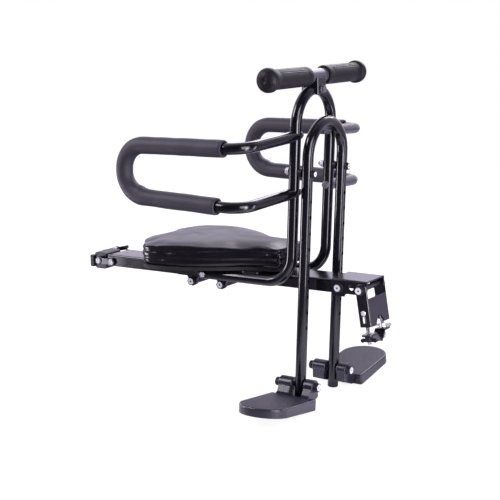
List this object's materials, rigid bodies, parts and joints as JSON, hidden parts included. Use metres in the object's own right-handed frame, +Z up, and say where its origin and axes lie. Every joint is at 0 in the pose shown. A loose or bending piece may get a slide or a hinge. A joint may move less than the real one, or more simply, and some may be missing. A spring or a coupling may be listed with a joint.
{
  "type": "child bike seat",
  "caption": "Child seat for a bicycle crossbar: bent-tube frame with saddle cushion, padded side guards, handlebar, folding footrests, seat-post clamp and head-tube cradle.",
  "frame": {"origin": "middle of the gap that grips the seat post, on the plane of symmetry", "axes": "+X along the beam the way the child faces, +Y to the child's left, +Z up"},
  "size_m": [0.5932, 0.3856, 0.5312],
  "materials": {
    "black_paint": "gloss black paint on steel tube and sheet",
    "zinc": "bright zinc plating",
    "foam_sleeve": "matt closed-cell foam",
    "grip_rubber": "matt moulded rubber",
    "moulded_plastic": "satin moulded plastic",
    "seat_cover": "satin black coated cloth over foam",
    "seat_wood": "black-stained plywood"
  },
  "bodies": {
    "beam": {"beam": "black_paint", "clamp_bracket": "black_paint", "bracket_bolt": "zinc", "bracket_nut": "zinc", "arm_pivot_bolt": "zinc", "arm_pivot_nut": "zinc"},
    "seat": {"carriage": "black_paint", "carriage_bolts": "zinc", "carriage_nuts": "zinc", "carriage_sleeves": "zinc", "rail_bolts": "zinc", "seat_frame": "black_paint", "rail_plugs": "moulded_plastic", "nose_plate": "black_paint", "leg_frame": "black_paint", "leg_plugs": "moulded_plastic", "frame_bolts": "zinc", "frame_nuts": "zinc", "frame_spacers": "zinc", "left_guard": "black_paint", "right_guard": "black_paint", "left_guard_foam": "foam_sleeve", "right_guard_foam": "foam_sleeve", "guard_plugs": "zinc", "guard_bolts": "zinc", "handle_bar": "black_paint", "bar_saddle": "black_paint", "saddle_bolt": "zinc", "saddle_nut": "zinc", "left_grip": "grip_rubber", "right_grip": "grip_rubber", "seat_board": "seat_wood", "cushion": "seat_cover", "footrest_bolts": "zinc", "footrest_caps": "moulded_plastic"},
    "left_foot": {"left_footrest": "moulded_plastic"},
    "right_foot": {"right_footrest": "moulded_plastic"},
    "arm": {"clamp_arm": "black_paint", "cross_pin": "zinc"},
    "studs": {"swing_studs": "zinc"},
    "jaw": {"jaw": "black_paint", "lock_nut": "zinc"},
    "knob": {"clamp_knob": "moulded_plastic"},
    "wing": {"wing_nut": "zinc"},
    "links": {"links": "black_paint", "link_pin": "zinc"},
    "cradle": {"cradle_block": "moulded_plastic", "cradle_pad": "grip_rubber", "cradle_pin": "zinc", "lever_pin": "zinc"},
    "lever": {"latch_lever": "black_paint"}
  },
  "joints": [
    {"name": "seat_slide", "type": "slide", "parent": "beam", "child": "seat", "axis": [1, 0, 0], "range_m": [-0.025, 0.025]},
    {"name": "left_footrest_fold", "type": "hinge", "parent": "seat", "child": "left_foot", "pos_m": [-0.09599, 0.053, -0.09644], "axis": [1, 0, 0], "range_deg": [0, 84]},
    {"name": "right_footrest_fold", "type": "hinge", "parent": "seat", "child": "right_foot", "pos_m": [-0.09599, -0.053, -0.09644], "axis": [-1, 0, 0], "range_deg": [0, 84]},
    {"name": "clamp_swing", "type": "hinge", "parent": "beam", "child": "arm", "pos_m": [-0.00899, 0, 0.06236], "axis": [0, -1, 0], "range_deg": [-10, 80]},
    {"name": "stud_swing", "type": "hinge", "parent": "arm", "child": "studs", "pos_m": [-0.00385, 0, 0.02672], "axis": [0, 1, 0], "range_deg": [-10, 45]},
    {"name": "jaw_slide", "type": "slide", "parent": "studs", "child": "jaw", "axis": [-0.1426, 0, 0.9898], "range_m": [-0.004, 0.004]},
    {"name": "knob_turn", "type": "hinge", "parent": "jaw", "child": "knob", "pos_m": [0.00185, -0.0245, -0.01287], "axis": [-0.1426, 0, 0.9898], "continuous": true},
    {"name": "wing_nut_turn", "type": "hinge", "parent": "jaw", "child": "wing", "pos_m": [0.00043, 0.0245, -0.00297], "axis": [-0.1426, 0, 0.9898], "continuous": true},
    {"name": "link_swing", "type": "hinge", "parent": "beam", "child": "links", "pos_m": [-0.50299, 0, 0.06016], "axis": [0, 1, 0], "range_deg": [-20, 20]},
    {"name": "cradle_tilt", "type": "hinge", "parent": "links", "child": "cradle", "pos_m": [-0.53199, 0, 0.06016], "axis": [0, 1, 0], "range_deg": [-20, 20]},
    {"name": "lever_lift", "type": "hinge", "parent": "cradle", "child": "lever", "pos_m": [-0.54299, 0.0343, 0.06866], "axis": [0, -1, 0], "range_deg": [0, 100]}
  ]
}
